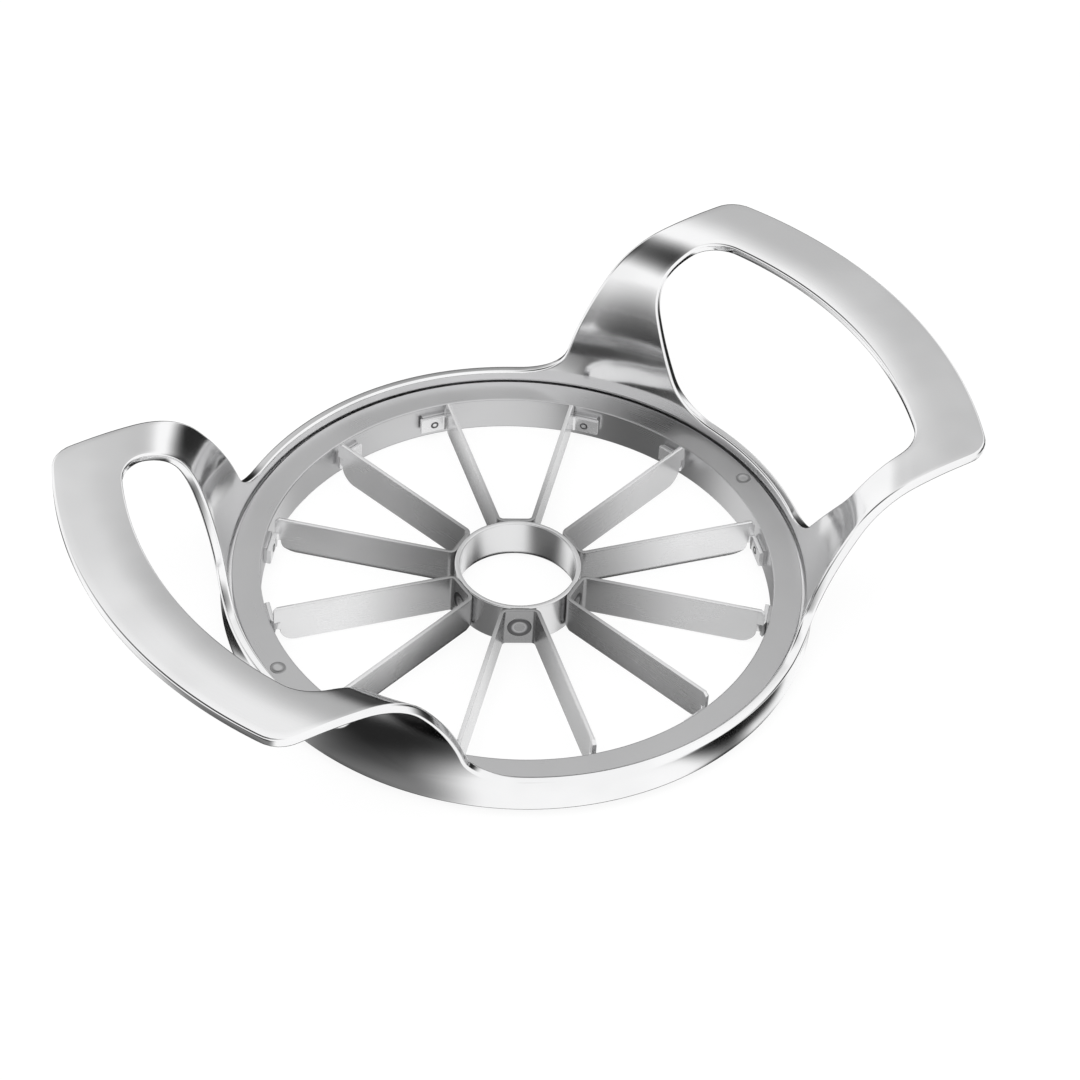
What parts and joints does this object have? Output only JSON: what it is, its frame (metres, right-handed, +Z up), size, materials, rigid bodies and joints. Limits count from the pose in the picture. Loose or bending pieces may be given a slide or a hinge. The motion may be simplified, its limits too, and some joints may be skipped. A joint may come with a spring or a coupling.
{
  "type": "apple slicer and corer",
  "caption": "Round hand-held slicer that is pressed down over a whole apple: a polished metal frame with two raised loop handles holds a ring of straight radial blades and a core tube.",
  "frame": {"origin": "on the slicer's axis, in the plane of the blade ring's lower edge, which is the face it stands on", "axes": "+Z up, away from the cutting edges; +X along the line through both handles; +Y across the handles"},
  "size_m": [0.172, 0.1128, 0.0381],
  "materials": {
    "polished_frame": "polished, near mirror",
    "satin_ring": "satin",
    "satin_tube": "satin",
    "blade_steel": "satin with bright edges",
    "weld_metal": "dull spot weld"
  },
  "bodies": {
    "root": {"frame": "polished_frame", "blade_ring": "satin_ring", "core_tube": "satin_tube", "blade_strip_1": "blade_steel", "blade_strip_2": "blade_steel", "blade_strip_3": "blade_steel", "blade_strip_4": "blade_steel", "blade_strip_5": "blade_steel", "blade_strip_6": "blade_steel", "tube_welds": "weld_metal", "foot_welds": "weld_metal", "seat_welds": "weld_metal"}
  },
  "joints": []
}
